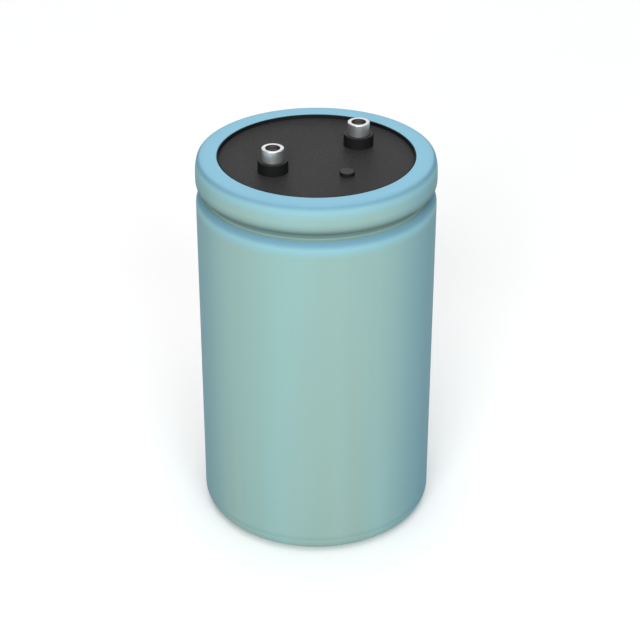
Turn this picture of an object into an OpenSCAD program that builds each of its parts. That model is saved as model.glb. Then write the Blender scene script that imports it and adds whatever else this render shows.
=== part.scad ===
// Screw-terminal aluminium electrolytic capacitor, standing on its foot.
// The origin is at the middle of the foot, +Z runs up the can's axis, the terminals lie along X.

/* [Can] */
// Outside diameter of the bare aluminium can
can_d = 76.2; // [70:0.1:90]
// Height over the sleeve, from the foot to the top of the rim
case_h = 128; // [120:0.5:200]
// Thickness of the can's side wall
can_wall = 0.8; // [0.6:0.05:1]
// Thickness of the can's bottom
can_floor_t = 1.2; // [0.8:0.1:2]
// Outer radius of the can's bottom corner
can_corner_r = 5; // [2:0.1:8]

/* [Rolled groove and rim] */
// Drop from the top of the rim to the middle of the groove
groove_drop = 11.1; // [10.5:0.1:14]
// Depth of the groove in the can's side
groove_depth = 2.5; // [1.8:0.1:3.4]
// Height of the flat band at the bottom of the groove
groove_w = 0.75; // [0.3:0.05:2]
// Hollow radius on either side of that band
groove_r = 1.15; // [0.8:0.05:1.8]
// Radius of the bead's lower edge
bead_r = 2; // [1.6:0.1:3]
// Radius of the shoulder under the groove
shoulder_r = 3.7; // [2:0.1:5]
// Radius of the bead's crowned face, which draws in towards the rim
crown_r = 14; // [8:0.5:40]
// Sweep of that crowned face
crown_a = 16; // [4:1:24]
// Outer radius of the can's edge where it turns in over the gasket
rim_r = 1.05; // [1:0.05:2]
// Width of the sleeved rim, seen from above
rim_w = 6.9; // [6:0.05:8]

/* [Sleeve] */
// Thickness of the shrunk plastic sleeve
sleeve_t = 0.4; // [0.2:0.05:0.6]
// Width of the sleeve's fold under the foot
sleeve_fold_w = 4; // [2:0.5:8]
// Rounding of the sleeve's edge at the rim's opening
sleeve_edge_r = 0.1; // [0.05:0.05:0.2]
// Thickness of the insulating disc on the can's bottom
end_disc_t = 0.4; // [0.2:0.05:1]

/* [Header] */
// Gap between the can and the header and gasket that it holds
header_gap = 0.05; // [0.02:0.01:0.15]
// Sweep of the header's rounded edge, which sits in the bead above the groove
seat_a = 60; // [45:1:70]
// Thickness of the header's web
web_t = 5; // [4.6:0.1:5.4]
// Width of the skirt that stiffens the header's edge
skirt_w = 4.2; // [3:0.1:6]
// Diameter of the bosses under the terminals
boss_d = 15; // [14:0.5:18]
// Thickness of the rib between the two terminals
rib_t = 2; // [1.5:0.1:3]
// Drop of that rib below the web
rib_drop = 2; // [1:0.1:2.4]
// Outside diameter of the collar around each terminal
collar_d = 9.6; // [9:0.1:12]
// Height of the collars above the deck
collar_h = 3.85; // [2:0.05:5]
// Rounding of the collars' top edge
collar_edge_r = 0.35; // [0.2:0.05:0.6]

/* [Gasket and vent] */
// Height of the gasket ring under the rim
gasket_h = 4; // [3.9:0.1:4.4]
// Width of the rubber bulge inside the rim
bulge_w = 0.5; // [0.4:0.05:0.8]
// Height of that bulge above the deck
bulge_h = 1.15; // [0.5:0.05:1.2]
// Gap between the bulge and the rim
bulge_gap = 0.05; // [0.02:0.01:0.1]
// Distance from the rim's opening to the middle of the vent plug
vent_inset = 15.6; // [12:0.05:18]
// Diameter of the vent plug's head
vent_head_d = 4.66; // [4:0.02:6]
// Height of the vent plug's head above the deck
vent_head_h = 1.3; // [0.8:0.1:2]
// Diameter of the vent plug's stem
vent_stem_d = 3.2; // [2.5:0.1:3.6]
// Diameter of the barb that holds the vent plug from below
vent_barb_d = 4.4; // [4:0.1:5]
// Height of that barb
vent_barb_h = 1.8; // [1:0.1:2.5]
// Taper of that barb, from its edge to its tip
vent_barb_taper = 1; // [0.5:0.1:1.5]
// Chamfer around the vent plug's head
vent_chamfer = 0.2; // [0.1:0.05:0.4]
// Width of the moulding around the vent plug's stem
vent_boss_w = 2.5; // [2:0.1:3.5]

/* [Terminals] */
// Distance from the rim's opening to the middle of a terminal
terminal_inset = 14.75; // [13:0.05:16]
// Diameter of the posts
post_d = 7.04; // [6.6:0.02:8]
// Height of the posts above the deck
post_h = 7.8; // [5:0.1:10]
// Chamfer around the top of the posts
post_chamfer = 0.2; // [0.1:0.05:0.4]
// Core diameter of the threaded hole
thread_core_d = 4.1; // [3.2:0.1:4.6]
// Depth of the threaded hole at its full diameter
thread_depth = 11; // [8:0.1:11.5]
// Point angle of the drill that made the hole
drill_angle = 118; // [90:1:140]
// Chamfer at the mouth of the threaded hole
mouth_chamfer = 0.3; // [0.15:0.05:0.4]
// Width across the flats of the hexagon moulded into the header
grip_af = 11; // [9:0.1:12]
// Thickness of that hexagon
grip_t = 2.2; // [1.5:0.1:2.4]
// Drop from the deck to the hexagon
grip_drop = 2; // [1.5:0.1:2.2]
// How far the shank stands out under its boss
shank_out = 0.5; // [0.2:0.1:1]
// Diameter of the rivet that holds the tabs
rivet_d = 3.2; // [2.5:0.1:4]
// Diameter of the rivet's closed head
rivet_head_d = 5.6; // [5:0.1:7]
// Thickness of the rivet's closed head
rivet_head_t = 1; // [0.6:0.1:1.4]
// Diameter of the washer under the rivet's head
washer_d = 8; // [7.5:0.1:10]
// Thickness of that washer
washer_t = 0.8; // [0.5:0.1:1.2]
// Gap between the rivet and the holes in tabs and washer
rivet_gap = 0.05; // [0.03:0.01:0.15]

/* [Winding] */
// Gap between the taped roll and the can
winding_gap = 1.2; // [1:0.1:4]
// Height of the space for the tabs, from the insulating disc to the terminals
tab_room = 12.3; // [11.5:0.1:18]
// Diameter of the hole that the winding mandrel leaves
mandrel_d = 8; // [7:0.1:9]
// Thickness of the tape around the roll
tape_t = 0.3; // [0.1:0.05:0.4]
// Bare height of the roll above and below the tape
tape_margin = 3; // [1:0.5:10]
// Spacing of the turns that show on the roll's ends
turn_pitch = 2.6; // [2:0.1:4]
// Width of the gap between those turns
turn_gap = 0.7; // [0.4:0.1:1]
// Depth of the gap between those turns
turn_depth = 0.8; // [0.4:0.1:2]
// Thickness of the disc between the roll and the tabs
insulator_t = 1; // [0.5:0.1:1.5]
// Thickness of the plastic centring disc under the roll
anchor_t = 1.5; // [1:0.1:2]
// Height of the centring peg
anchor_peg_h = 14; // [6:0.5:30]
// Gap between the peg and the roll
anchor_peg_gap = 0.2; // [0.1:0.05:0.4]
// Taper at the peg's tip
anchor_peg_taper = 1.9; // [0.5:0.1:2.5]
// Holes in the centring disc
anchor_holes = 6; // [3:1:8]
// Width of the disc's hub and of its outer ring
anchor_ring_w = 7; // [4:0.5:8]

/* [Tabs] */
// Thickness of the connecting tabs
tab_t = 0.3; // [0.2:0.02:0.4]
// Width of the connecting tabs
tab_w = 8; // [6:0.1:10]
// How deep the tabs reach into the roll
tab_root_h = 18; // [8:0.5:40]
// Gap between the tabs and the slots that they pass
tab_gap = 0.1; // [0.05:0.05:0.3]
// Distance from the mandrel's hole to the place where the inner fold's tab leaves the roll
tab_root_in = 2.2; // [1.9:0.1:3]
// Distance from there to the place where the outer fold's tab leaves the roll
tab_root_step = 3.8; // [3:0.1:5]
// Rise of the outer fold above the insulating disc
tab_rise_a = 2.5; // [2:0.1:3]
// Rise of the inner fold above the insulating disc
tab_rise_b = 4.6; // [4:0.1:5]
// How far the outer fold turns beyond the rivet
tab_reach_a = 5.2; // [4.8:0.1:7]
// How far the inner fold turns beyond the rivet
tab_reach_b = 3.7; // [3.2:0.1:4.6]
// Length of the tabs' tails past the rivet
tab_tail = 5; // [3:0.1:8]
// Radius of the first bend of a tab
tab_bend_r = 1; // [0.6:0.1:1.8]

/* [Hidden] */

$fn = 96;
// Angle between the points of an arc
arc_step = 7.5;
// Angle between the points of the roll's spiral
spiral_step = 20;
// Overrun of a cut past the face that it opens
over = 0.5;

can_r = can_d / 2;
inner_r = can_r - can_wall;
sleeve_r = can_r + sleeve_t;
opening_r = sleeve_r - rim_w;

// Levels, from the foot upwards
can_z = sleeve_t + end_disc_t;
floor_z = can_z + can_floor_t;
winding_z = floor_z + anchor_t;
can_top = case_h - sleeve_t;
deck_z = can_top - can_wall;
post_top = deck_z + post_h;
web_z = deck_z - web_t;

// The groove's two edges, and the centres and sweeps of the arcs that lead in and out of it
groove_low = case_h - groove_drop - groove_w / 2;
groove_high = case_h - groove_drop + groove_w / 2;
groove_c = can_r - groove_depth + groove_r;
shoulder_a = acos(max(0, 1 - groove_depth / (shoulder_r + groove_r)));
shoulder_z = groove_low - (shoulder_r + groove_r) * sin(shoulder_a);
bead_a = acos(max(0, 1 - groove_depth / (bead_r + groove_r)));
bead_z = groove_high + (bead_r + groove_r) * sin(bead_a);

// Centre of the turned-in edge, and height of the crown's centre
rim_c = can_r - crown_r + (crown_r - rim_r) * cos(crown_a);
rim_z = can_top - rim_r;
crown_z = rim_z - (crown_r - rim_r) * sin(crown_a);

// The header's edge nests in the bead, and the roll's connections hang under it
header_r = inner_r - header_gap;
edge_r = bead_r - can_wall - header_gap;
header_z = bead_z - edge_r * sin(seat_a);
bulge_r = opening_r - bulge_gap;
gasket_r = bulge_r - bulge_w;
gasket_z = deck_z - gasket_h;
skirt_r = header_r - skirt_w;

terminal_x = opening_r - terminal_inset;
vent_y = vent_inset - opening_r;
grip_top = deck_z - grip_drop;
shank_z = header_z - shank_out;
washer_top = shank_z - 2 * tab_t;
rivet_head_top = washer_top - washer_t;

// The roll fills the can up to the space for the tabs
winding_r = inner_r - winding_gap - tape_t;
insulator_top = shank_z - tab_room;
winding_top = insulator_top - insulator_t;
winding_h = winding_top - winding_z;
tab_root_b = mandrel_d / 2 + tab_root_in;
tab_root_a = tab_root_b + tab_root_step;
turn_start = mandrel_d / 2 + turn_pitch / 2;
turn_count = floor((winding_r - turn_start - turn_gap) / turn_pitch);

// Points of an arc about c, from angle a0 to angle a1
function arc(c, r, a0, a1) =
    let (n = max(1, ceil(abs(a1 - a0) / arc_step)))
    [for (i = [0:n]) let (a = a0 + (a1 - a0) * i / n) [c[0] + r * cos(a), c[1] + r * sin(a)]];

function reversed(points) = [for (i = [len(points) - 1:-1:0]) points[i]];

// The can's crowned face and turned-in edge, at a depth d under its outer face
function rim_line(d) = concat(
    arc([can_r - crown_r, crown_z], crown_r - d, 0, crown_a),
    arc([rim_c, rim_z], rim_r - d, crown_a, 90)
);

// The can's whole side from the shoulder to the rim, at a depth d under its outer face
function side_line(d) = concat(
    arc([can_r - shoulder_r, shoulder_z], shoulder_r - d, 0, shoulder_a),
    arc([groove_c, groove_low], groove_r + d, 180 + shoulder_a, 180),
    arc([groove_c, groove_high], groove_r + d, 180, 180 - bead_a),
    arc([can_r - bead_r, bead_z], bead_r - d, -bead_a, 0),
    rim_line(d)
);

// Shrunk sleeve: it follows the groove, folds over the rim and under the foot
module sleeve() {
    foot_r = can_r - can_corner_r;
    color([0.45, 0.74, 0.8])
    rotate_extrude()
    polygon(concat(
        [[foot_r - sleeve_fold_w, 0]],
        arc([foot_r, can_corner_r + sleeve_t], can_corner_r + sleeve_t, -90, 0),
        side_line(-sleeve_t),
        arc([opening_r + sleeve_edge_r, case_h - sleeve_edge_r], sleeve_edge_r, 90, 180),
        [[opening_r, can_top]],
        reversed(side_line(0)),
        arc([foot_r, can_corner_r + sleeve_t], can_corner_r, 0, -90),
        [[foot_r - sleeve_fold_w, sleeve_t]]
    ));
}

// Insulating disc between the can's bottom and the sleeve's fold
module end_disc() {
    color([0.36, 0.6, 0.66])
    translate([0, 0, sleeve_t]) cylinder(h = end_disc_t, r = can_r - can_corner_r);
}

// Drawn can with the rolled groove and the rim turned in over the gasket
module can() {
    corner_c = can_r - can_corner_r;
    color([0.78, 0.79, 0.8])
    rotate_extrude()
    polygon(concat(
        [[0, can_z]],
        arc([corner_c, can_z + can_corner_r], can_corner_r, -90, 0),
        side_line(0),
        [[opening_r, can_top], [opening_r, deck_z]],
        reversed(side_line(can_wall)),
        arc([corner_c, floor_z + can_corner_r - can_wall], can_corner_r - can_wall, 0, -90),
        [[0, floor_z]]
    ));
}

// Rubber ring in the header's rebate, squeezed out a little inside the rim
module gasket() {
    color([0.06, 0.06, 0.06])
    rotate_extrude()
    polygon(concat(
        [[gasket_r, gasket_z], [header_r, gasket_z]],
        rim_line(can_wall + header_gap),
        [[bulge_r, deck_z - header_gap]],
        arc([bulge_r - bulge_w / 2, deck_z + bulge_h - bulge_w / 2], bulge_w / 2, 0, 180)
    ));
}

// Body of one terminal without its hole, which is also the cavity that it fills in the header
module terminal_body() {
    rotate_extrude()
    polygon(concat(
        [[0, rivet_head_top - rivet_head_t]],
        arc([rivet_head_d / 2 - rivet_head_t / 2, rivet_head_top - rivet_head_t / 2], rivet_head_t / 2, -90, 90),
        [
            [rivet_d / 2, rivet_head_top], [rivet_d / 2, shank_z], [post_d / 2, shank_z],
            [post_d / 2, post_top - post_chamfer], [post_d / 2 - post_chamfer, post_top], [0, post_top]
        ]
    ));
    translate([0, 0, grip_top - grip_t]) cylinder(h = grip_t, d = grip_af / cos(30), $fn = 6);
}

// Terminal post: threaded hole above, hexagon in the moulding, rivet below
module terminal() {
    color([0.86, 0.87, 0.88])
    translate([terminal_x, 0, 0])
    difference() {
        terminal_body();
        translate([0, 0, post_top - thread_depth]) cylinder(h = thread_depth + over, d = thread_core_d);
        translate([0, 0, post_top - thread_depth])
        mirror([0, 0, 1])
        cylinder(h = thread_core_d / 2 / tan(drill_angle / 2), r1 = thread_core_d / 2, r2 = 0);
        translate([0, 0, post_top - mouth_chamfer])
        cylinder(h = mouth_chamfer + over, d1 = thread_core_d, d2 = thread_core_d + 2 * (mouth_chamfer + over));
    }
}

// Moulded collar with a rounded top edge
module collar() {
    rotate_extrude()
    polygon(concat(
        [[0, web_z], [collar_d / 2, web_z]],
        arc([collar_d / 2 - collar_edge_r, deck_z + collar_h - collar_edge_r], collar_edge_r, 0, 90),
        [[0, deck_z + collar_h]]
    ));
}

// Moulded header: deck, rebate for the gasket, skirt, collars, bosses and a rib between the poles
module header() {
    color([0.2, 0.2, 0.2])
    difference() {
        union() {
            rotate_extrude()
            polygon(concat(
                [[0, web_z], [skirt_r, web_z], [skirt_r, header_z]],
                arc([can_r - bead_r, bead_z], edge_r, -seat_a, 0),
                [[header_r, gasket_z], [gasket_r, gasket_z], [gasket_r, deck_z], [0, deck_z]]
            ));
            for (side = [-1, 1]) translate([side * terminal_x, 0, 0]) {
                collar();
                translate([0, 0, header_z]) cylinder(h = web_z - header_z + over, d = boss_d);
            }
            translate([-rib_t / 2, -skirt_r - over, web_z - rib_drop])
            cube([rib_t, 2 * (skirt_r + over), rib_drop + over]);
            translate([0, vent_y, web_z - rib_drop]) cylinder(h = rib_drop + over, r = vent_stem_d / 2 + vent_boss_w);
        }
        for (turn = [0, 180]) rotate([0, 0, turn]) translate([terminal_x, 0, 0]) terminal_body();
        translate([0, vent_y, web_z - rib_drop - over])
        cylinder(h = web_t + rib_drop + 2 * over, d = vent_stem_d);
    }
}

// Rubber pressure-relief plug, pushed in from above
module vent_plug() {
    barb_z = web_z - rib_drop;
    head_r = vent_head_d / 2;
    head_z = deck_z + vent_head_h;
    color([0.09, 0.09, 0.1])
    translate([0, vent_y, 0])
    rotate_extrude()
    polygon([
        [0, barb_z - vent_barb_h], [vent_barb_d / 2 - vent_barb_taper, barb_z - vent_barb_h],
        [vent_barb_d / 2, barb_z], [vent_stem_d / 2, barb_z], [vent_stem_d / 2, deck_z], [head_r, deck_z],
        [head_r, head_z - vent_chamfer], [head_r - vent_chamfer, head_z], [0, head_z]
    ]);
}

// Washer between the tabs and the rivet's head
module washer() {
    color([0.7, 0.71, 0.72])
    translate([terminal_x, 0, rivet_head_top])
    difference() {
        cylinder(h = washer_t, d = washer_d);
        translate([0, 0, -over]) cylinder(h = washer_t + 2 * over, d = rivet_d + 2 * rivet_gap);
    }
}

// Direction square to a step, towards its left
function left_of(a, b) = let (d = b - a) [-d[1], d[0]] / norm(d);

// One side of a strip along a path, with mitred corners
function strip_side(path, t) = [
    for (i = [0:len(path) - 1])
        let (
            last = len(path) - 1,
            n0 = left_of(path[max(i - 1, 0)], path[max(i, 1)]),
            n1 = left_of(path[min(i, last - 1)], path[min(i + 1, last)])
        )
        path[i] + (n0 + n1) * t / (1 + n0 * n1)
];

// Middle line of a tab: out of the roll, outwards, round the fold and back under the terminal
function tab_path(root, rise, reach, level) =
    let (
        low_z = insulator_top + rise,
        high_z = shank_z - tab_t * (level + 0.5),
        turn_r = (high_z - low_z) / 2
    )
    concat(
        [[root, winding_top - tab_root_h]],
        arc([root + tab_bend_r, low_z - tab_bend_r], tab_bend_r, 180, 90),
        arc([terminal_x + reach, low_z + turn_r], turn_r, -90, 90),
        [[terminal_x - tab_tail, high_z]]
    );

// Folded connecting tab with its rivet hole
module tab(root, rise, reach, level) {
    path = tab_path(root, rise, reach, level);
    color([0.75, 0.76, 0.78])
    difference() {
        rotate([90, 0, 0])
        translate([0, 0, -tab_w / 2])
        linear_extrude(tab_w)
        polygon(concat(strip_side(path, tab_t / 2), reversed(strip_side(path, -tab_t / 2))));
        translate([terminal_x, 0, shank_z - 2 * tab_t - over])
        cylinder(h = 2 * tab_t + 2 * over, d = rivet_d + 2 * rivet_gap);
    }
}

// Slots for all four tabs, cut from z0 to z1
module tab_slots(z0, z1) {
    for (turn = [0, 180], root = [tab_root_a, tab_root_b])
        rotate([0, 0, turn])
        translate([root - tab_t / 2 - tab_gap, -tab_w / 2 - tab_gap, z0])
        cube([tab_t + 2 * tab_gap, tab_w + 2 * tab_gap, z1 - z0]);
}

// Disc that keeps the tabs off the roll
module top_insulator() {
    color([0.82, 0.76, 0.62])
    difference() {
        translate([0, 0, winding_top]) cylinder(h = insulator_t, r = winding_r);
        tab_slots(winding_top - over, insulator_top + over);
    }
}

// One side of the spiral gap between the turns
function spiral_side(shift) = [
    for (i = [0:turn_count * 360 / spiral_step])
        let (a = i * spiral_step, r = turn_start + turn_pitch * a / 360 + shift)
        [r * cos(a), r * sin(a)]
];

module turn_gaps() {
    linear_extrude(turn_depth + over)
    polygon(concat(spiral_side(-turn_gap / 2), reversed(spiral_side(turn_gap / 2))));
}

// Roll of foils and paper, with the gaps between turns at both ends
module winding() {
    color([0.88, 0.84, 0.74])
    difference() {
        translate([0, 0, winding_z]) cylinder(h = winding_h, r = winding_r);
        translate([0, 0, winding_z - over]) cylinder(h = winding_h + 2 * over, d = mandrel_d);
        tab_slots(winding_top - tab_root_h, winding_top + over);
        translate([0, 0, winding_top - turn_depth]) turn_gaps();
        translate([0, 0, winding_z - over]) turn_gaps();
    }
}

// Tape that closes the last turn
module winding_tape() {
    color([0.85, 0.72, 0.45])
    translate([0, 0, winding_z + tape_margin])
    difference() {
        cylinder(h = winding_h - 2 * tape_margin, r = winding_r + tape_t);
        translate([0, 0, -over]) cylinder(h = winding_h - 2 * tape_margin + 2 * over, r = winding_r);
    }
}

// Plastic disc with a peg that centres the roll in the can
module bottom_anchor() {
    peg_r = mandrel_d / 2 - anchor_peg_gap;
    rim = inner_r - can_corner_r + can_wall;
    tip_z = winding_z + anchor_peg_h - anchor_peg_taper;
    hole_d = rim - peg_r - 2 * anchor_ring_w;
    color([0.9, 0.9, 0.88])
    difference() {
        union() {
            translate([0, 0, floor_z]) cylinder(h = anchor_t, r = rim);
            translate([0, 0, floor_z]) cylinder(h = tip_z - floor_z, r = peg_r);
            translate([0, 0, tip_z]) cylinder(h = anchor_peg_taper, r1 = peg_r, r2 = peg_r - anchor_peg_taper);
        }
        for (i = [1:anchor_holes])
            rotate([0, 0, i * 360 / anchor_holes])
            translate([(rim + peg_r) / 2, 0, floor_z - over])
            cylinder(h = anchor_t + 2 * over, d = hole_d);
    }
}

module negative() {
    rotate([0, 0, 180]) children();
}

sleeve();
end_disc();
can();
gasket();
header();
vent_plug();
terminal();  // terminal_positive
negative() terminal();  // terminal_negative
washer();  // washer_positive
negative() washer();  // washer_negative
tab(tab_root_a, tab_rise_a, tab_reach_a, 0);  // tab_positive_outer
tab(tab_root_b, tab_rise_b, tab_reach_b, 1);  // tab_positive_inner
negative() tab(tab_root_a, tab_rise_a, tab_reach_a, 0);  // tab_negative_outer
negative() tab(tab_root_b, tab_rise_b, tab_reach_b, 1);  // tab_negative_inner
top_insulator();
winding();
winding_tape();
bottom_anchor();
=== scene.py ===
import math

import bmesh
import bpy
from mathutils import Matrix, Vector


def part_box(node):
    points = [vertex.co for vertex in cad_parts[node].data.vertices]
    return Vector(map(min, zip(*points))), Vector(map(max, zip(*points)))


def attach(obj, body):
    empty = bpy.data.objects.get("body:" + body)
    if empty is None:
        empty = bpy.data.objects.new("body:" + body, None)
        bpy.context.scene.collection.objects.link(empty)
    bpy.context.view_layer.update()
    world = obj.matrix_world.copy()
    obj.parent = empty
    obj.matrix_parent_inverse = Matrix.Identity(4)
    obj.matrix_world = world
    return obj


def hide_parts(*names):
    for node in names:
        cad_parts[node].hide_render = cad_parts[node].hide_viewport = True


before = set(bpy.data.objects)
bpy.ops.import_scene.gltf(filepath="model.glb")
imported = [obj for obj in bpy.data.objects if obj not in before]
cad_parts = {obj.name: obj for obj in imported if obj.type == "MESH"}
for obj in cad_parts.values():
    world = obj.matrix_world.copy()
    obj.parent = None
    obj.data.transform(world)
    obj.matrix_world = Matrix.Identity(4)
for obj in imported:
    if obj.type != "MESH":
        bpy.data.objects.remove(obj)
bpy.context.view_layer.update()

bl_info = {
    "name": "Screw-Terminal Capacitor",
    "version": (1, 0, 0),
    "blender": (4, 5, 0),
    "location": "View3D > Sidebar > Capacitor",
    "description": "Builds the finish of a large electrolytic capacitor around its solid model",
    "category": "Object",
}

MM = 0.001
SLEEVE_LOW, SLEEVE_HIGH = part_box("sleeve")
CAN_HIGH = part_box("can")[1]
HEADER_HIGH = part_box("header")[1]
POST_LOW, POST_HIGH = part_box("terminal_positive")
VENT_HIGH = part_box("vent_plug")[1]
TERMINAL_X = (POST_LOW[0] + POST_HIGH[0]) / 2

# Angle between the points of an arc
ARC_STEP = math.radians(4)
# Edges that bend more than these stay hard, on turned pieces and on merged copies of the solids
TURNED_EDGE = math.radians(32)
MERGED_EDGE = math.radians(30)
# How upright a face's normal is where those copies are shaded flat
LEVEL = 0.9999
# Segments around the sleeve and around a post
SLEEVE_SEGMENTS = 192
POST_SEGMENTS = 96
# Points along the can's straight side, the fold under the foot and a post's side
SIDE_POINTS = 60
FOLD_POINTS = 5
POST_POINTS = 6
# How much stronger the painted light on the upper faces is on the shoulder under the groove
SHOULDER_TINT = 1.4
# Slope of the cone that a drill leaves at the bottom of a hole
DRILL_SLOPE = math.radians(31)
# Steps in one turn of the thread, and the ridge's width at its root and crest as shares of the pitch
THREAD_STEPS = 48
ROOT_SHARE = 0.8
CREST_SHARE = 0.2
# Half the floor's width, and the strength of the light from all around
FLOOR_HALF = 3.0
AMBIENT = 0.06
# The camera's place behind the axis and above the rim, in radii of the sleeve
CAMERA_BACK = 13.3593
CAMERA_RISE = 6.11361
# The photograph's width, and the column in which the can's axis stands, in pixels
PHOTO_WIDTH = 640
AXIS_COLUMN = 316.35
# Softboxes: name, azimuth from the camera's and elevation in degrees, distance, size, power and tint
SOFTBOXES = (
    ("key", -16, 25, 1.6, (0.64, 1.1), 15.5, (1, 1, 0.97)),
    ("fill", 20, 25, 1.6, (0.64, 1.1), 10.4, (0.9, 0.97, 1)),
    ("overhead", 0, 88, 2.0, (2.6, 2.6), 40.0, (1, 1, 1)),
    ("back", 180, 34, 1.3, (1.2, 0.7), 2.2, (1, 1, 1)),
    ("low_back", 180, 8, 1.6, (0.9, 0.4), 3.4, (1, 1, 1)),
)


# Shader graphs written as expressions


class Term:
    """A number in a node tree, on which Python's operators add Math nodes."""

    def __init__(self, graph, socket):
        self.graph = graph
        self.socket = socket

    def math(self, operation, *values):
        return self.graph.add("ShaderNodeMath", {"operation": operation}, dict(enumerate(values)))

    def __add__(self, other):
        return self.math("ADD", self, other)

    def __radd__(self, other):
        return self.math("ADD", other, self)

    def __sub__(self, other):
        return self.math("SUBTRACT", self, other)

    def __rsub__(self, other):
        return self.math("SUBTRACT", other, self)

    def __mul__(self, other):
        return self.math("MULTIPLY", self, other)

    def __rmul__(self, other):
        return self.math("MULTIPLY", other, self)

    def __truediv__(self, other):
        return self.math("DIVIDE", self, other)

    def __rtruediv__(self, other):
        return self.math("DIVIDE", other, self)

    def __pow__(self, other):
        return self.math("POWER", self, other)

    def at_most(self, other):
        return self.math("MINIMUM", self, other)


class Nodes:
    """A node tree to which nodes are added with their settings and inputs in one call."""

    def __init__(self, tree):
        self.tree = tree

    def fill(self, node, inputs):
        for key, value in inputs.items():
            if isinstance(value, Term):
                self.tree.links.new(value.socket, node.inputs[key])
            else:
                node.inputs[key].default_value = value

    def add(self, kind, settings=None, inputs=None, output=0):
        """Adds a node, sets its settings and then its sockets, and gives one of its outputs."""
        node = self.tree.nodes.new(kind)
        for key, value in (settings or {}).items():
            setattr(node, key, value)
        self.fill(node, inputs or {})
        return Term(self, node.outputs[output])

    def split(self, vector):
        node = self.tree.nodes.new("ShaderNodeSeparateXYZ")
        self.fill(node, {0: vector})
        return [Term(self, out) for out in node.outputs]


class Graph(Nodes):
    """The node tree of one material, with a Principled shader at its end."""

    def __init__(self, name, **constants):
        self.material = bpy.data.materials.new(name)
        self.material.use_nodes = True
        super().__init__(self.material.node_tree)
        self.shader = self.tree.nodes["Principled BSDF"]
        for socket, value in constants.items():
            self.shader.inputs[socket.replace("_", " ")].default_value = value

    def place(self, centre=(0, 0, 0), scale=(1, 1, 1)):
        """Object coordinates, centred on a point of the part and scaled."""
        shift = [-c * s for c, s in zip(centre, scale)]
        point = self.add("ShaderNodeTexCoord", output="Object")
        return self.add("ShaderNodeMapping", inputs={"Vector": point, "Location": shift, "Scale": scale})

    def attribute(self, name):
        return self.add("ShaderNodeAttribute", {"attribute_name": name}, output="Fac")

    def sine(self, value):
        return self.add("ShaderNodeMath", {"operation": "SINE"}, {0: value})

    def radius(self, centre=(0, 0, 0)):
        """Distance from an upright axis through a point."""
        x, y, z = self.split(self.place(centre))
        return (x * x + y * y) ** 0.5

    def noise(self, vector, scale, detail=2.0, roughness=0.5):
        return self.add(
            "ShaderNodeTexNoise",
            inputs={"Vector": vector, "Scale": scale, "Detail": detail, "Roughness": roughness},
        )

    def soft_step(self, value, low, high):
        """0 below low, 1 above high and smooth between them."""
        return self.add(
            "ShaderNodeMapRange",
            {"interpolation_type": "SMOOTHSTEP"},
            {"Value": value, "From Min": low, "From Max": high},
        )

    def mix(self, factor, a, b):
        return self.add("ShaderNodeMix", {"data_type": "RGBA"}, {0: factor, 6: a, 7: b}, output=2)

    def bump(self, height, distance, strength):
        normal = self.add(
            "ShaderNodeBump", inputs={"Height": height, "Distance": distance, "Strength": strength}
        )
        self.fill(self.shader, {"Normal": normal})

    def finish(self, **varying):
        self.fill(self.shader, {key.replace("_", " "): value for key, value in varying.items()})
        return self.material


def rgba(color):
    return (*color[:3], 1)


def shade(color, factor):
    return (*(c * factor for c in color[:3]), 1)


# Finishes


def sleeve_film():
    """Shrunk vinyl, greener on the side; painted light makes it sky blue where it faces up and lighter
    towards the top, and painted shade darkens it at bends, in the groove, under the bead and, bluer, along
    two sides that turn away from the lights. Shrunk vinyl: sky blue where it faces up, greener on the
    side, bluer along two guessed creases.
    """
    colors = bpy.context.scene.capacitor_sleeve
    g = Graph("sleeve_film", Specular_IOR_Level=0.05)
    z = g.split(g.place())[2]
    facing = g.attribute("facing_up")
    streaks = g.noise(g.place(scale=(1, 1, 0.03)), 75, 2)
    tint = g.noise(g.place(centre=(-colors.tint_seed, 0, 0), scale=(1, 1, 0.05)), 65, 2)
    side = g.mix(g.soft_step(tint, 0.25, 0.75), rgba(colors.side_green), rgba(colors.side_blue))
    side = g.mix(g.soft_step(streaks, 0.42, 0.7) * 0.35, side, rgba(colors.streak))
    # Painted shade: darker, bluer film along the two sides that turn away from the lights, at a fixed
    # azimuth
    turned = g.add("ShaderNodeVectorRotate", {"rotation_type": "Z_AXIS"}, {
        "Vector": g.place(), "Angle": -colors.crease_angle,
    })
    across = g.split(turned)[0] / SLEEVE_HIGH[0]
    side = g.mix(g.soft_step(across * across, 0.3, 1.0), side, rgba(colors.edge_shade))
    # Painted light: the side gets lighter and bluer towards the top
    side = g.mix(g.soft_step(z, SLEEVE_LOW[2], SLEEVE_HIGH[2]) * 0.25, side, shade(colors.side_blue, 1.1))
    # Painted light and shade by how far the film faces up: lighter where a bend starts, darker and bluer
    # part way round it, sky blue where it faces up
    color = g.mix(g.soft_step(facing, 0, 0.3), side, rgba(colors.slope))
    color = g.mix(g.soft_step(facing, 0.38, 0.68), color, rgba(colors.bend))
    color = g.mix(g.soft_step(facing, 0.68, 0.9), color, rgba(colors.top))
    # Painted shade and light in the groove: darker just under the bead, lighter where the groove turns up
    # again
    groove = g.mix(g.soft_step(facing, 0.06, 0.42), shade(colors.groove, 0.83), shade(colors.groove, 1.5))
    color = g.mix(g.soft_step(g.attribute("sunk"), 0.5, 0.95), color, groove)
    # Painted shade: the film darkens where it faces down, under the bead
    color = g.mix(g.soft_step(facing, -0.02, -0.5) * 0.8, color, shade(colors.groove, 0.4))
    grain = g.noise(g.place(), 2600, 3)
    drawn = g.noise(g.place(scale=(1, 1, 0.02)), 420, 2)
    g.bump(grain * 0.25 + drawn, 0.006 * MM, 0.5)
    return g.finish(Base_Color=color, Roughness=0.5 + 0.1 * streaks)


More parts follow.
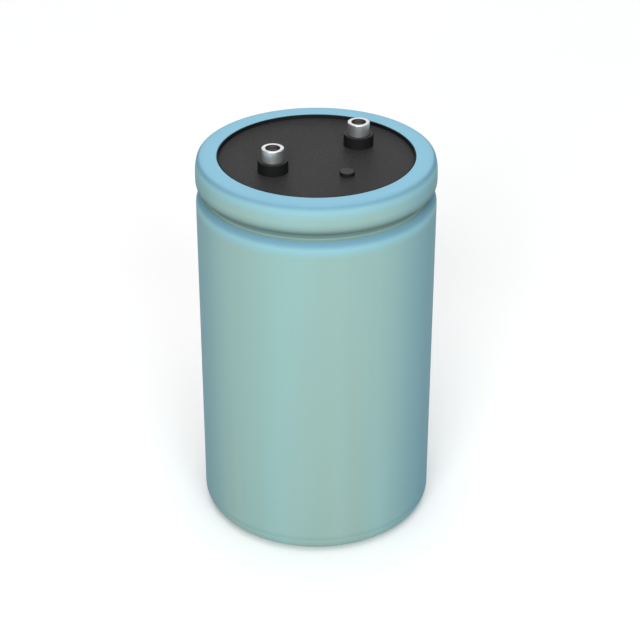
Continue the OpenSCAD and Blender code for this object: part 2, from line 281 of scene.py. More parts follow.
def moulded_black():
    """Glass-filled moulding: matt with a fine grain, and painted shade darkening the collars' sides."""
    colors = bpy.context.scene.capacitor_header
    g = Graph("moulded_black", Specular_IOR_Level=0.12)
    grain = g.noise(g.place(), 1050, 4, 0.75)
    cloud = g.noise(g.place(), 90, 3)
    z = g.split(g.place())[2]
    reach = colors.collar_radius
    deck = HEADER_HIGH[2] - colors.collar_height

    def collar_side(x):
        """1 within a thin ring around the collar's side, 0 elsewhere."""
        radius = g.radius((x, 0, 0))
        beside = g.soft_step(radius, reach * 1.06, reach * 1.02)
        return beside * g.soft_step(radius, reach * 0.94, reach * 0.99)

    # Painted shade: the collars' sides, turned away from the light from above, are darker
    drawn = (collar_side(TERMINAL_X) + collar_side(-TERMINAL_X)) * g.soft_step(z, deck, deck + 0.1 * MM)
    color = g.mix(g.soft_step(cloud, 0.3, 0.7), rgba(colors.moulding), shade(colors.moulding, 1.12))
    color = g.mix(g.soft_step(grain, 0.4, 0.6) * 0.8, color, shade(colors.moulding, 1.55))
    color = g.mix(drawn, color, rgba(colors.collar_side_shade))
    g.bump(grain + cloud * 0.3, 0.012 * MM, 0.5)
    return g.finish(Base_Color=color, Roughness=0.52 + 0.12 * cloud)


def black_rubber():
    """Cured rubber: dull and black with a faint bloom, and painted light making the vent plug's top grey,
    patchy with the bloom.
    """
    g = Graph("black_rubber", Specular_IOR_Level=0.25)
    bloom = g.noise(g.place(), 260, 4, 0.6)
    grain = g.noise(g.place(), 4200, 2)
    z = g.split(g.place())[2]
    # Painted light: the vent plug's top, lit from above, is grey
    lit_plug_top = g.soft_step(z, VENT_HIGH[2] - 0.12 * MM, VENT_HIGH[2] - 0.02 * MM)
    color = g.mix(g.soft_step(bloom, 0.45, 0.8), (0.004, 0.004, 0.0045, 1), (0.008, 0.008, 0.009, 1))
    color = g.mix(lit_plug_top * (0.8 + 0.2 * bloom), color, (0.046, 0.046, 0.047, 1))
    g.bump(grain + bloom * 0.5, 0.012 * MM, 0.5)
    return g.finish(Base_Color=color, Roughness=0.6 + 0.2 * bloom)


def turned_aluminium():
    """Turned metal, nearly smooth, with fine rings of tool marks about each post's axis; painted light makes
    each post's top lighter than its side, and painted shade darkens the bore.
    """
    colors = bpy.context.scene.capacitor_terminals
    g = Graph("turned_aluminium", Metallic=0.85)
    radius = g.radius((TERMINAL_X, 0, 0)).at_most(g.radius((-TERMINAL_X, 0, 0)))
    z = g.split(g.place())[2]
    rings = g.sine(radius * 2 * math.pi / (0.3 * MM))
    turns = g.sine(z * 2 * math.pi / (0.35 * MM))
    scuff = g.noise(g.place(scale=(1, 1, 3)), 500, 3, 0.5)
    floor = POST_HIGH[2] - colors.thread_depth
    # Painted shade: the bore and its thread are darker inside
    bore = g.soft_step(radius, colors.thread_radius + colors.mouth_radius, colors.thread_radius)
    bore = bore * g.soft_step(z, floor - 2 * MM, floor - 1.8 * MM)
    # Painted light and shade: each post's top lighter, its side darker
    lit_post_top = g.soft_step(z, POST_HIGH[2] - colors.chamfer, POST_HIGH[2] - colors.chamfer / 10)
    color = g.mix(lit_post_top, shade(colors.metal, 0.74), rgba(colors.metal))
    color = g.mix(g.soft_step(scuff, 0.4, 0.75) * 0.3, color, shade(colors.metal, 0.6))
    color = g.mix(bore, color, rgba(colors.bore))
    g.bump(rings * 0.5 + turns * 0.5 + scuff, 0.0006 * MM, 0.5)
    return g.finish(Base_Color=color, Roughness=0.27 + 0.1 * scuff + 0.2 * bore)


def rolled_aluminium(name, brightness, roughness):
    """Rolled sheet or foil: faint drawing lines along Z and small marks."""
    g = Graph(name, Metallic=1.0)
    lines = g.noise(g.place(scale=(1, 1, 0.02)), 1500, 2)
    marks = g.noise(g.place(), 180, 4, 0.6)
    color = g.mix(marks, shade((1, 1, 1), brightness), shade((0.92, 0.95, 1), brightness * 0.86))
    g.bump(lines + marks * 0.4, 0.01 * MM, 0.4)
    return g.finish(Base_Color=color, Roughness=roughness + 0.15 * lines)


def wound_paper():
    """Paper and foil: the turns show as fine rings on the roll's ends and as fibres on its side."""
    g = Graph("wound_paper", Specular_IOR_Level=0.25)
    turns = g.sine(g.radius() * 2 * math.pi / (0.3 * MM))
    fibre = g.noise(g.place(scale=(1, 1, 0.3)), 900, 5, 0.7)
    damp = g.noise(g.place(), 60, 3)
    color = g.mix(g.soft_step(turns, -0.2, 0.9), (0.7, 0.63, 0.47, 1), (0.42, 0.41, 0.38, 1))
    color = g.mix(g.soft_step(damp, 0.35, 0.7) * 0.5, color, (0.55, 0.45, 0.27, 1))
    g.bump(turns * 0.5 + fibre, 0.05 * MM, 0.6)
    return g.finish(Base_Color=color, Roughness=0.7 + 0.2 * fibre)


def tape_film():
    """Amber tape, wound around the roll in overlapping laps."""
    g = Graph("tape_film", Coat_Roughness=0.1)
    z = g.split(g.place())[2]
    laps = g.add("ShaderNodeMath", {"operation": "FRACT"}, {0: z / (12 * MM)})
    blotch = g.noise(g.place(), 130, 3)
    color = g.mix(blotch, (0.5, 0.28, 0.05, 1), (0.62, 0.4, 0.1, 1))
    color = g.mix(g.soft_step(laps, 0.9, 1.0), color, (0.33, 0.17, 0.03, 1))
    g.bump(laps * 0.3 + blotch, 0.04 * MM, 0.5)
    return g.finish(Base_Color=color, Roughness=0.28 + 0.1 * blotch)


def pressed_board():
    """Pressed insulating board: fibrous, warm brown."""
    g = Graph("pressed_board", Specular_IOR_Level=0.2)
    fibre = g.noise(g.place(scale=(1, 0.25, 1)), 1100, 5, 0.7)
    fleck = g.noise(g.place(), 2400, 2)
    color = g.mix(fibre, (0.46, 0.33, 0.17, 1), (0.62, 0.49, 0.3, 1))
    color = g.mix(g.soft_step(fleck, 0.62, 0.8), color, (0.2, 0.13, 0.07, 1))
    g.bump(fibre, 0.04 * MM, 0.6)
    return g.finish(Base_Color=color, Roughness=0.8 + 0.1 * fibre)


def natural_plastic():
    """Unpigmented polypropylene: milky, with flow marks."""
    g = Graph("natural_plastic", Subsurface_Weight=0.1)
    flow = g.noise(g.place(scale=(1, 1, 0.4)), 120, 3)
    color = g.mix(flow, (0.74, 0.73, 0.68, 1), (0.83, 0.83, 0.8, 1))
    g.bump(flow, 0.03 * MM, 0.4)
    return g.finish(Base_Color=color, Roughness=0.42 + 0.12 * flow)


def disc_film():
    """Insulating disc under the can: dull film of the sleeve's colour, scuffed by the bench."""
    colors = bpy.context.scene.capacitor_sleeve
    g = Graph("disc_film", Specular_IOR_Level=0.35)
    scuff = g.noise(g.place(scale=(1, 0.2, 1)), 520, 4, 0.65)
    cloud = g.noise(g.place(), 70, 2)
    color = g.mix(cloud, shade(colors.side_blue, 0.82), shade(colors.side_green, 0.9))
    color = g.mix(g.soft_step(scuff, 0.58, 0.75) * 0.4, color, shade(colors.top, 1.1))
    g.bump(scuff, 0.02 * MM, 0.5)
    return g.finish(Base_Color=color, Roughness=0.5 + 0.15 * scuff)


# Meshes


def arc(centre, radius, start, end):
    """Points of an arc in the section plane, from one angle to another in degrees."""
    start, end = math.radians(start), math.radians(end)
    count = max(2, math.ceil(abs(end - start) / ARC_STEP))
    angles = [start + (end - start) * i / count for i in range(count + 1)]
    return [(centre[0] + radius * math.cos(a), centre[1] + radius * math.sin(a)) for a in angles]


def lathe(name, rows, segments, closed, shape):
    """Turns rows of (radius, height) about Z.

    A closed section makes a ring, and an open one ends on the axis at both ends. shape is called as
    shape(row, angle, radius, height) and gives the radius and height of each point.
    """
    mesh = bmesh.new()
    rings = []
    for row, (radius, height) in enumerate(rows):
        if radius < 1e-9:
            rings.append([mesh.verts.new((0, 0, height))])
            continue
        ring = []
        for i in range(segments):
            angle = 2 * math.pi * i / segments
            r, z = shape(row, angle, radius, height)
            ring.append(mesh.verts.new((r * math.cos(angle), r * math.sin(angle), z)))
        rings.append(ring)
    pairs = list(zip(rings, rings[1:] + rings[:1])) if closed else list(zip(rings, rings[1:]))
    for a, b in pairs:
        for i in range(segments):
            j = (i + 1) % segments
            corners = [a[i % len(a)], a[j % len(a)], b[j % len(b)], b[i % len(b)]]
            mesh.faces.new(list(dict.fromkeys(corners)))
    bmesh.ops.recalc_face_normals(mesh, faces=mesh.faces)
    data = bpy.data.meshes.new(name)
    mesh.to_mesh(data)
    mesh.free()
    data.shade_smooth()
    data.set_sharp_from_angle(angle=TURNED_EDGE)
    piece = bpy.data.objects.new(name, data)
    bpy.context.scene.collection.objects.link(piece)
    return piece


def smoothed(node, material, slot):
    """A merged copy of a carried-over solid, shaded smooth where its faces curve."""
    mesh = bmesh.new()
    mesh.from_mesh(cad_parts[node].data)
    bmesh.ops.remove_doubles(mesh, verts=mesh.verts, dist=1e-7)
    bmesh.ops.recalc_face_normals(mesh, faces=mesh.faces)
    data = bpy.data.meshes.new(node + "_smooth")
    mesh.to_mesh(data)
    mesh.free()
    data.shade_smooth()
    data.set_sharp_from_angle(angle=MERGED_EDGE)
    for face in data.polygons:
        face.use_smooth = abs(face.normal.z) < LEVEL
    piece = bpy.data.objects.new(data.name, data)
    bpy.context.scene.collection.objects.link(piece)
    return carried(piece, material, slot, node)


def carried(piece, material, slot, *nodes):
    """Gives a finished piece its material and its body, and hides the nodes that it stands for. The slot is
    not used.
    """
    piece.data.materials.clear()
    piece.data.materials.append(material)
    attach(piece, "root")
    if nodes:
        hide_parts(*nodes)
    return piece


def finish_node(node, material):
    """A carried-over solid keeps its shape and gets a better finish."""
    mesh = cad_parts[node].data
    mesh.materials.clear()
    mesh.materials.append(material)


class Groove:
    """The can's side from its shoulder to its rim, from the settings and the can's own box."""

    def __init__(self, sizes):
        self.can_r = CAN_HIGH[0]
        self.top = CAN_HIGH[2]
        self.sizes = sizes
        into = sizes.shoulder_radius + sizes.groove_radius
        out_of = sizes.bead_radius + sizes.groove_radius
        middle = SLEEVE_HIGH[2] - sizes.groove_drop
        self.low = middle - sizes.groove_width / 2
        self.high = middle + sizes.groove_width / 2
        self.centre = self.can_r - sizes.groove_depth + sizes.groove_radius
        self.shoulder_angle = math.degrees(math.acos(max(0, 1 - sizes.groove_depth / into)))
        self.shoulder_z = self.low - into * math.sin(math.radians(self.shoulder_angle))
        self.bead_angle = math.degrees(math.acos(max(0, 1 - sizes.groove_depth / out_of)))
        self.bead_z = self.high + out_of * math.sin(math.radians(self.bead_angle))
        self.crown_angle = math.degrees(sizes.crown_angle)
        self.rim_z = self.top - sizes.rim_radius
        drawn_in = sizes.crown_radius - sizes.rim_radius
        self.crown_z = self.rim_z - drawn_in * math.sin(sizes.crown_angle)
        self.rim_centre = self.can_r - sizes.crown_radius + drawn_in * math.cos(sizes.crown_angle)

    def line(self, out):
        """Points of the side at a distance outside the can's face."""
        s = self.sizes
        shoulder = (self.can_r - s.shoulder_radius, self.shoulder_z)
        bead = (self.can_r - s.bead_radius, self.bead_z)
        crown = (self.can_r - s.crown_radius, self.crown_z)
        rim = (self.rim_centre, self.rim_z)
        return (
            arc(shoulder, s.shoulder_radius + out, 0, self.shoulder_angle)
            + arc((self.centre, self.low), s.groove_radius - out, 180 + self.shoulder_angle, 180)
            + arc((self.centre, self.high), s.groove_radius - out, 180, 180 - self.bead_angle)
            + arc(bead, s.bead_radius + out, -self.bead_angle, 0)
            + arc(crown, s.crown_radius + out, 0, self.crown_angle)
            + arc(rim, s.rim_radius + out, self.crown_angle, 90)[1:]
        )


def softened(rows, values, reach):
    """Values along a section, each averaged with its neighbours by their distance along it."""
    steps = [math.dist(a, b) for a, b in zip(rows, rows[1:])]
    along = [sum(steps[:i]) for i in range(len(rows))]
    share = [(a + b) / 2 for a, b in zip([0] + steps, steps + [0])]
    out = []
    for here in along:
        near = [w * math.exp(-(((there - here) / reach) ** 2)) for there, w in zip(along, share)]
        out.append(sum(n * v for n, v in zip(near, values)) / sum(near))
    return out


def spaced(start, end, count):
    """Evenly spaced points from start up to, but without, end."""
    return [tuple(a + (b - a) * i / count for a, b in zip(start, end)) for i in range(count)]


# Settings


def length(name, description, default):
    return bpy.props.FloatProperty(
        name=name, description=description, default=default, min=0, max=200 * MM,
        subtype="DISTANCE", unit="LENGTH", precision=5,
    )


def color(name, description, default):
    return bpy.props.FloatVectorProperty(
        name=name, description=description, default=default, size=3, min=0, max=1, subtype="COLOR"
    )


class SleeveSettings(bpy.types.PropertyGroup):
    """Sizes and colours of the shrunk sleeve"""

    groove_drop: length("Groove drop", "From the top of the rim to the groove's middle", 11.1 * MM)
    groove_depth: length("Groove depth", "Depth of the rolled groove in the can", 2.5 * MM)
    groove_width: length("Groove width", "Height of the flat band at the bottom of the groove", 0.75 * MM)
    groove_radius: length("Groove radius", "Hollow radius on either side of that band", 1.15 * MM)
    bead_radius: length("Bead radius", "Radius of the bead's lower edge", 2 * MM)
    shoulder_radius: length("Shoulder radius", "Radius of the shoulder under the groove", 3.7 * MM)
    crown_radius: length("Crown radius", "Radius of the bead's crowned face", 14 * MM)
    crown_angle: bpy.props.FloatProperty(
        name="Crown angle", description="Sweep of that crowned face", default=math.radians(16),
        min=0, max=math.pi / 4, subtype="ANGLE", unit="ROTATION",
    )
    rim_radius: length("Rim radius", "Outer radius of the turned-in rim", 1.05 * MM)
    opening_radius: length("Opening radius", "Radius of the opening inside the sleeved rim", 31.6 * MM)
    edge_radius: length("Edge radius", "Rounding of the film's edge at the opening", 0.1 * MM)
    corner_radius: length("Corner radius", "Radius of the can's bottom corner", 5 * MM)
    fold_width: length("Fold width", "Width of the film's fold under the foot", 4 * MM)
    wrinkle: length("Wrinkle", "Depth of the shrink wrinkles along the fold under the foot", 0.25 * MM)
    # Painted light: how far the colours painted on the upper faces run down the film
    tint_reach: length("Tint reach", "How far the tint of the upper faces runs down the film", 2.2 * MM)
    tint_seed: bpy.props.FloatProperty(
        name="Tint seed", default=3.737,
        description="Where in the noise the film's patches of tint are taken, picked to be like the photo's",
    )
    # Painted shade: azimuth and colour of the two darker, bluer bands where the side turns away from the
    # lights
    crease_angle: bpy.props.FloatProperty(
        name="Crease angle",
        description="Azimuth of two guessed creases, set to give the sides the tint they have in the photo",
        default=math.radians(-43), subtype="ANGLE", unit="ROTATION",
    )
    edge_shade: color("Crease colour", "Bluer film along those two guessed creases", (0.152, 0.298, 0.352))
    # Painted light and shade on the film by how far it faces up: top, slope and bend colours
    top: color("Top colour", "Film where it faces up", (0.236, 0.473, 0.605))
    slope: color("Slope colour", "Film where it starts to bend over", (0.215, 0.4, 0.45))
    bend: color("Bend colour", "Film at the height of a bend", (0.15, 0.305, 0.395))
    # Painted shade: the darker film in the groove and under the bead
    groove: color("Groove colour", "Greyed film down in the groove", (0.145, 0.23, 0.215))
    side_green: color("Green side", "Greener patches of the film's side", (0.226, 0.335, 0.305))
    side_blue: color("Blue side", "Bluer patches of the film's side", (0.215, 0.36, 0.355))
    streak: color("Streak", "Faint lighter streaks along the can", (0.26, 0.385, 0.395))


class HeaderSettings(bpy.types.PropertyGroup):
    """Colours of the header and sizes of its collars"""

    moulding: color("Moulding", "Black moulding compound", (0.0215, 0.0205, 0.0215))
    # Painted shade on the collars' sides
    collar_side_shade: color("Drawn side", "Darker skin on the collars' sides", (0.009, 0.009, 0.0095))
    collar_radius: length("Collar radius", "Outer radius of the collars", 4.8 * MM)
    collar_height: length("Collar height", "Height of the collars above the deck", 3.85 * MM)


class TerminalSettings(bpy.types.PropertyGroup):
    """Sizes and colour of the turned posts and their thread"""

    post_radius: length("Post radius", "Outer radius of the post", 3.52 * MM)
    chamfer: length("Chamfer", "Chamfer around the post's top", 0.2 * MM)
    mouth_radius: length("Mouth radius", "Rounding at the mouth of the bore", 0.05 * MM)
    thread_radius: length("Thread radius", "Outer radius of the thread", 2.36 * MM)
    thread_bite: length("Thread bite", "How far the ridge is sunk into the bore's wall", 0.02 * MM)
    core_radius: length("Core radius", "Radius inside the thread's crests", 2.05 * MM)
    pitch: length("Pitch", "Rise of the thread in one turn", 0.794 * MM)
    thread_depth: length("Thread depth", "Depth of the full bore", 11 * MM)
    rivet_radius: length("Rivet radius", "Radius of the rivet under the header", 1.6 * MM)
    rivet_head_radius: length("Rivet head radius", "Radius of the rivet's closed head", 2.8 * MM)
    grip_drop: length("Grip drop", "From the post's top to the hexagon", 9.8 * MM)
    grip_height: length("Grip height", "Thickness of the hexagon", 2.2 * MM)
    metal: color("Metal", "Bare aluminium", (0.78, 0.79, 0.8))
    # Painted shade inside the threaded bore
    bore: color("Bore", "Oily metal inside the threaded bore", (0.12, 0.11, 0.11))


class StageSettings(bpy.types.PropertyGroup):
    """Floor, lights and camera"""

    floor: color("Floor", "Pale floor", (0.98, 0.98, 0.98))
    lens: bpy.props.FloatProperty(
        name="Lens", description="Focal length on a 36 mm sensor", default=100.26, min=10, unit="CAMERA"
    )
    swing: bpy.props.FloatProperty(
        name="Swing", description="Camera's azimuth", default=math.radians(-36.7),
        subtype="ANGLE", unit="ROTATION",
    )
    pitch: bpy.props.FloatProperty(
        name="Pitch", description="Camera's tilt down", default=math.radians(29.9175),
        subtype="ANGLE", unit="ROTATION",
    )


# Pieces


class CAPACITOR_OT_sleeve(bpy.types.Operator):
    """Shrinks the film over the can, down into the groove, over the rim and under the foot"""

    bl_idname = "capacitor.sleeve"
    bl_label = "Sleeve"

    def execute(self, context):
        s = context.scene.capacitor_sleeve
        groove = Groove(s)
        film = SLEEVE_HIGH[0] - CAN_HIGH[0]
        foot = groove.can_r - s.corner_radius
        corner_z = s.corner_radius + film
        edge = s.edge_radius
        outside = (
            spaced((foot - s.fold_width, 0), (foot, 0), FOLD_POINTS)
            + arc((foot, corner_z), s.corner_radius + film, -90, 0)
            + spaced((SLEEVE_HIGH[0], corner_z), (SLEEVE_HIGH[0], groove.shoulder_z), SIDE_POINTS)[1:]
            + groove.line(film)
            + arc((s.opening_radius + edge, SLEEVE_HIGH[2] - edge), edge, 90, 180)
        )
        inside = (
            [(s.opening_radius, groove.top)]
            + groove.line(0)[::-1]
            + spaced((groove.can_r, groove.shoulder_z), (groove.can_r, corner_z), SIDE_POINTS)[1:]
            + arc((foot, corner_z), s.corner_radius, 0, -90)
            + [(foot - s.fold_width, film)]
        )
        folded = {0, len(outside) + len(inside) - 1}

        # Two trains of waves run around the film's edge, and the longer waves are bunched unevenly
        def wrinkle(row, angle, radius, height):
            wave = 0.6 * math.sin(37 * angle + 1.3 * math.sin(5 * angle)) + 0.4 * math.sin(61 * angle + 0.7)
            return radius + (wave * s.wrinkle if row in folded else 0), height

        piece = lathe("sleeve_film", outside + inside, SLEEVE_SEGMENTS, True, wrinkle)
        # The upward facing places the film's painted light and shade; it is softened along the outside, kept
        # from darkening the foot and made stronger on the shoulder
        up = [v.normal.z for v in piece.data.vertices][::SLEEVE_SEGMENTS]
        up[:len(outside)] = softened(outside, up[:len(outside)], s.tint_reach)
        up = [
            max(0, value) if height < corner_z else value * (SHOULDER_TINT if height < groove.low else 1)
            for value, (_, height) in zip(up, outside + inside)
        ]
        # The depth into the groove places the painted shade there
        sunk = [
            (SLEEVE_HIGH[0] - radius) / s.groove_depth if groove.shoulder_z < height < groove.bead_z else 0
            for radius, height in outside + inside
        ]
        for name, values in (("facing_up", up), ("sunk", sunk)):
            attribute = piece.data.attributes.new(name, "FLOAT", "POINT")
            attribute.data.foreach_set("value", [value for value in values for _ in range(SLEEVE_SEGMENTS)])
        carried(piece, sleeve_film(), "sleeve_plastic", "sleeve")
        return {"FINISHED"}


class CAPACITOR_OT_posts(bpy.types.Operator):
    """Turns both terminal posts, with their moulded-in hexagon, rivet and bored hole"""

    bl_idname = "capacitor.posts"
    bl_label = "Posts"

    def execute(self, context):
        s = context.scene.capacitor_terminals
        top = POST_HIGH[2]
        floor = top - s.thread_depth
        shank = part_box("tab_positive_outer")[1][2]
        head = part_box("washer_positive")[0][2]
        head_r = s.rivet_head_radius
        round_r = (head - POST_LOW[2]) / 2
        half_flats = (POST_HIGH[1] - POST_LOW[1]) / 2
        grip_top = top - s.grip_drop
        grip_low = grip_top - s.grip_height
        rows = (
            [(0, POST_LOW[2])]
            + arc((head_r - round_r, POST_LOW[2] + round_r), round_r, -90, 90)
            + [(s.rivet_radius, head), (s.rivet_radius, shank)]
            + [(s.post_radius, shank), (s.post_radius, grip_low)]
            + [(half_flats, grip_low), (half_flats, grip_top)]
            + spaced((s.post_radius, grip_top), (s.post_radius, top - s.chamfer), POST_POINTS)
            + arc((s.post_radius - s.chamfer, top - s.chamfer), s.chamfer, 0, 90)[1:]
            + arc((s.thread_radius + s.mouth_radius, top - s.mouth_radius), s.mouth_radius, 90, 180)
            + [(s.thread_radius, floor), (0, floor - s.thread_radius * math.tan(DRILL_SLOPE))]
        )
        hexagon = {i for i, row in enumerate(rows) if row[0] == half_flats}

        def flats(row, angle, radius, height):
            turn = (angle % (math.pi / 3)) - math.pi / 6
            return (radius / math.cos(turn) if row in hexagon else radius), height

        material = turned_aluminium()
        for pole, x in (("positive", TERMINAL_X), ("negative", -TERMINAL_X)):
            piece = lathe(f"post_{pole}", rows, POST_SEGMENTS, False, flats)
            piece.data.transform(Matrix.Translation((x, 0, 0)))
            carried(piece, material, "terminal_aluminium", f"terminal_{pole}")
        return {"FINISHED"}


def thread_tree():
    """Node group: a ridge of trapezoid section along a helix, faded out at both ends, in each bore."""
    tree = bpy.data.node_groups.new("thread", "GeometryNodeTree")
    nodes = Nodes(tree)
    interface = tree.interface
    sizes = ("Radius", "Depth", "Pitch", "Ridge Height", "Root Width", "Crest Width", "Spacing", "Floor")
    for name in sizes:
        interface.new_socket(name, in_out="INPUT", socket_type="NodeSocketFloat")
    interface.new_socket("Material", in_out="INPUT", socket_type="NodeSocketMaterial")
    interface.new_socket("Geometry", in_out="OUTPUT", socket_type="NodeSocketGeometry")
    given = {out.name: Term(nodes, out) for out in tree.nodes.new("NodeGroupInput").outputs if out.name}
    turns = given["Depth"] / given["Pitch"]
    helix = nodes.add("GeometryNodeCurveSpiral", inputs={
        "Resolution": THREAD_STEPS, "Rotations": turns, "Start Radius": given["Radius"],
        "End Radius": given["Radius"], "Height": given["Depth"],
    })
    helix = nodes.add("GeometryNodeSetCurveNormal", {"mode": "Z_UP"}, {"Curve": helix})
    along = nodes.add("GeometryNodeSplineParameter") * turns
    fade = along.at_most(turns - along).at_most(1)
    section = nodes.add("GeometryNodeCurvePrimitiveQuadrilateral", {"mode": "TRAPEZOID"}, {
        "Height": given["Ridge Height"], "Bottom Width": given["Root Width"],
        "Top Width": given["Crest Width"], "Offset": 0.0,
    })
    inward = nodes.add("ShaderNodeCombineXYZ", inputs={"Y": given["Ridge Height"] / 2})
    section = nodes.add("GeometryNodeTransform", inputs={"Geometry": section, "Translation": inward})
    quarter = (0, 0, -math.pi / 2)
    section = nodes.add("GeometryNodeTransform", inputs={"Geometry": section, "Rotation": quarter})
    ridge = nodes.add("GeometryNodeCurveToMesh", inputs={
        "Curve": helix, "Profile Curve": section, "Scale": fade, "Fill Caps": True,
    })
    start = nodes.add("ShaderNodeCombineXYZ", inputs={"X": given["Spacing"] / -2, "Z": given["Floor"]})
    step = nodes.add("ShaderNodeCombineXYZ", inputs={"X": given["Spacing"]})
    bores = nodes.add("GeometryNodeMeshLine", {"mode": "OFFSET"}, {
        "Count": 2, "Start Location": start, "Offset": step,
    })
    threads = nodes.add("GeometryNodeInstanceOnPoints", inputs={"Points": bores, "Instance": ridge})
    threads = nodes.add("GeometryNodeRealizeInstances", inputs={"Geometry": threads})
    threads = nodes.add("GeometryNodeSetMaterial", inputs={
        "Geometry": threads, "Material": given["Material"],
    })
    nodes.fill(tree.nodes.new("NodeGroupOutput"), {"Geometry": threads})
    return tree


def grown(name, tree, values):
    """The mesh that a node group makes from named values, as a plain object."""
    data = bpy.data.meshes.new(name + "_seed")
    seed = bpy.data.objects.new(name + "_seed", data)
    bpy.context.scene.collection.objects.link(seed)
    modifier = seed.modifiers.new(name, "NODES")
    modifier.node_group = tree
    for item in tree.interface.items_tree:
        if item.in_out == "INPUT":
            modifier[item.identifier] = values[item.name]
    depsgraph = bpy.context.evaluated_depsgraph_get()
    data = bpy.data.meshes.new_from_object(seed.evaluated_get(depsgraph))
    seed.modifiers.clear()
    bpy.data.objects.remove(seed)
    data.name = name
    data.shade_smooth()
    data.set_sharp_from_angle(angle=TURNED_EDGE)
    piece = bpy.data.objects.new(name, data)
    bpy.context.scene.collection.objects.link(piece)
    return piece


class CAPACITOR_OT_threads(bpy.types.Operator):
    """Winds the thread into both bores, as a ridge along a helix"""

    bl_idname = "capacitor.threads"
    bl_label = "Threads"

    def execute(self, context):
        s = context.scene.capacitor_terminals
        root = s.thread_radius + s.thread_bite
        material = bpy.data.materials["turned_aluminium"]
        values = {
            "Radius": root,
            "Depth": s.thread_depth - s.pitch / 2,
            "Pitch": s.pitch,
            "Ridge Height": root - s.core_radius,
            "Root Width": s.pitch * ROOT_SHARE,
            "Crest Width": s.pitch * CREST_SHARE,
            "Spacing": 2 * TERMINAL_X,
            "Floor": POST_HIGH[2] - s.thread_depth,
            "Material": material,
        }
        piece = grown("threads", thread_tree(), values)
        carried(piece, material, "terminal_aluminium")
        return {"FINISHED"}


class CAPACITOR_OT_closure(bpy.types.Operator):
    """Finishes the header, the gasket and the vent plug"""

    bl_idname = "capacitor.closure"
    bl_label = "Closure"

    def execute(self, context):
        rubber = black_rubber()
        smoothed("header", moulded_black(), "black_moulding")
        smoothed("gasket", rubber, "black_rubber")
        smoothed("vent_plug", rubber, "black_rubber")
        return {"FINISHED"}


class CAPACITOR_OT_inside(bpy.types.Operator):
    """Finishes what the can holds: roll, tape, discs, tabs and washers"""

    bl_idname = "capacitor.inside"
    bl_label = "Inside"

    def execute(self, context):
        finish_node("can", rolled_aluminium("drawn_can", 0.75, 0.3))
        tabs = rolled_aluminium("soft_tab", 0.8, 0.25)
        for pole in ("positive", "negative"):
            finish_node(f"washer_{pole}", tabs)
            finish_node(f"tab_{pole}_outer", tabs)
            finish_node(f"tab_{pole}_inner", tabs)
        finish_node("winding", wound_paper())
        finish_node("winding_tape", tape_film())
        finish_node("top_insulator", pressed_board())
        finish_node("bottom_anchor", natural_plastic())
        finish_node("end_disc", disc_film())
        return {"FINISHED"}


# Stage


def softbox(name, place, size, power, tint, target):
    """A rectangular area light that faces a target."""
    light = bpy.data.lights.new(name, "AREA")
    light.shape = "RECTANGLE"
    light.size, light.size_y = size
    light.energy = power
    light.color = tint
    lamp = bpy.data.objects.new(name, light)
    lamp.location = place
    lamp.rotation_euler = (target - Vector(place)).to_track_quat("-Z", "Y").to_euler()
    bpy.context.scene.collection.objects.link(lamp)


def around(azimuth, elevation, distance, target):
    """A place seen from target at an azimuth and elevation in degrees, azimuth 0 in front."""
    a, e = math.radians(azimuth), math.radians(elevation)
    way = Vector((math.sin(a) * math.cos(e), -math.cos(a) * math.cos(e), math.sin(e)))
    return target + way * distance


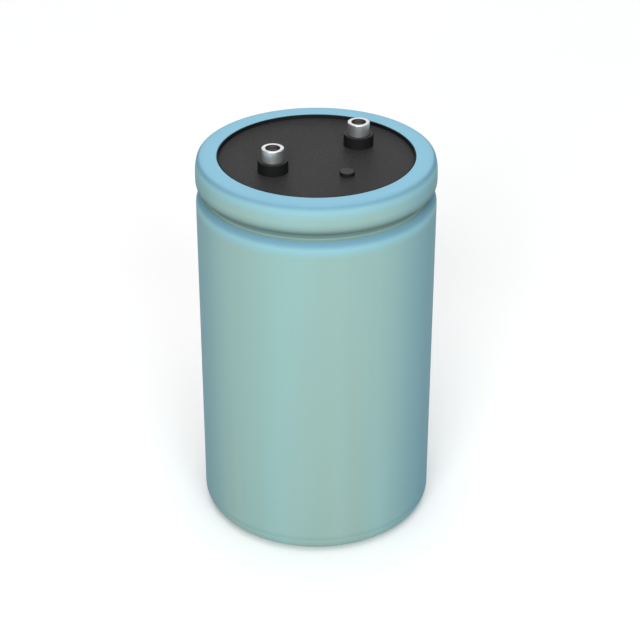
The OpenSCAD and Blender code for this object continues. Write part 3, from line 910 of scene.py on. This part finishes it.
class CAPACITOR_OT_stage(bpy.types.Operator):
    """Lays the pale floor, hangs the soft lights and sets the camera at the photograph's angle"""

    bl_idname = "capacitor.stage"
    bl_label = "Stage"

    def execute(self, context):
        scene = context.scene
        s = scene.capacitor_stage
        data = bpy.data.meshes.new("floor")
        corners = [(x * FLOOR_HALF, y * FLOOR_HALF, 0) for x, y in ((-1, -1), (1, -1), (1, 1), (-1, 1))]
        data.from_pydata(corners, [], [(0, 1, 2, 3)])
        floor = bpy.data.objects.new("floor", data)
        scene.collection.objects.link(floor)
        g = Graph("pale_floor", Roughness=0.9, Specular_IOR_Level=0.1)
        cloud = g.noise(g.place(), 6, 2)
        data.materials.append(g.finish(Base_Color=g.mix(cloud, rgba(s.floor), shade(s.floor, 0.98))))

        world = bpy.data.worlds.new("studio")
        scene.world = world
        world.use_nodes = True
        background = world.node_tree.nodes["Background"]
        background.inputs["Color"].default_value = (1, 1, 1, 1)
        background.inputs["Strength"].default_value = AMBIENT
        middle = Vector((0, 0, SLEEVE_HIGH[2] / 2))
        swing = math.degrees(s.swing)
        for name, turn, elevation, distance, size, power, tint in SOFTBOXES:
            place = around(swing + turn, elevation, distance, middle)
            softbox(name, place, size, power, tint, middle)

        radius = SLEEVE_HIGH[0]
        back, rise = CAMERA_BACK * radius, CAMERA_RISE * radius
        camera = bpy.data.objects.new("camera", bpy.data.cameras.new("camera"))
        camera.data.lens = s.lens
        camera.data.sensor_width = 36
        camera.data.shift_x = (PHOTO_WIDTH / 2 - AXIS_COLUMN) / PHOTO_WIDTH
        camera.location = (back * math.sin(s.swing), -back * math.cos(s.swing), SLEEVE_HIGH[2] + rise)
        camera.rotation_euler = (math.pi / 2 - s.pitch, 0, s.swing)
        scene.collection.objects.link(camera)
        scene.camera = camera
        scene.view_settings.view_transform = "Standard"
        return {"FINISHED"}


class CAPACITOR_PT_panel(bpy.types.Panel):
    """Lists the builders in the order in which they run"""

    bl_label = "Capacitor"
    bl_idname = "CAPACITOR_PT_panel"
    bl_space_type = "VIEW_3D"
    bl_region_type = "UI"
    bl_category = "Capacitor"

    def draw(self, context):
        for operator in OPERATORS:
            self.layout.operator(operator.bl_idname)
        for group in GROUPS:
            settings = getattr(context.scene, group)
            box = self.layout.box()
            for name in settings.__annotations__:
                box.prop(settings, name)


OPERATORS = (
    CAPACITOR_OT_sleeve,
    CAPACITOR_OT_posts,
    CAPACITOR_OT_threads,
    CAPACITOR_OT_closure,
    CAPACITOR_OT_inside,
    CAPACITOR_OT_stage,
)
GROUPS = {
    "capacitor_sleeve": SleeveSettings,
    "capacitor_header": HeaderSettings,
    "capacitor_terminals": TerminalSettings,
    "capacitor_stage": StageSettings,
}


def register():
    for cls in (*GROUPS.values(), *OPERATORS, CAPACITOR_PT_panel):
        bpy.utils.register_class(cls)
    for name, group in GROUPS.items():
        setattr(bpy.types.Scene, name, bpy.props.PointerProperty(type=group))


def unregister():
    for name in GROUPS:
        delattr(bpy.types.Scene, name)
    for cls in (CAPACITOR_PT_panel, *reversed(OPERATORS), *reversed(GROUPS.values())):
        bpy.utils.unregister_class(cls)


def main():
    register()
    for operator in OPERATORS:
        group, name = operator.bl_idname.split(".")
        getattr(getattr(bpy.ops, group), name)()


if __name__ == "__main__":
    main()
